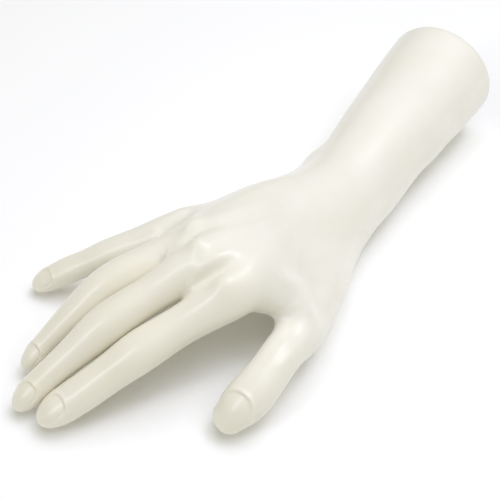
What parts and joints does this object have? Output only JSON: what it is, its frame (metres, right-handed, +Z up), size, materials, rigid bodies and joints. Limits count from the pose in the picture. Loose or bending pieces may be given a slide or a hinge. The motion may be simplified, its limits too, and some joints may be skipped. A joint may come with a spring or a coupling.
{
  "type": "jewelry display hand",
  "caption": "Slender right hand with part of its forearm, hollow, pearl white, that lies palm down or stands on its forearm end to show rings, bracelets and watches.",
  "frame": {"origin": "on the table, under the middle of the hand's bounding box", "axes": "+X along the hand towards the forearm end, +Y towards the little finger's side, +Z up from the table through the back of the hand"},
  "size_m": [0.2932, 0.129, 0.0612],
  "materials": {
    "pearl": "warm pearl-white lacquer with a soft sheen",
    "white_plastic": "fine moulded grain",
    "steel": "zinc-plated, dull",
    "pad": "closed-cell foam rubber, matt"
  },
  "bodies": {
    "root": {"back_shell": "pearl", "palm_shell": "pearl", "base_plate": "white_plastic", "ballast_weight": "steel", "ballast_screw": "steel", "base_screw_1": "steel", "base_screw_2": "steel", "base_screw_3": "steel", "base_pad": "pad"}
  },
  "joints": []
}
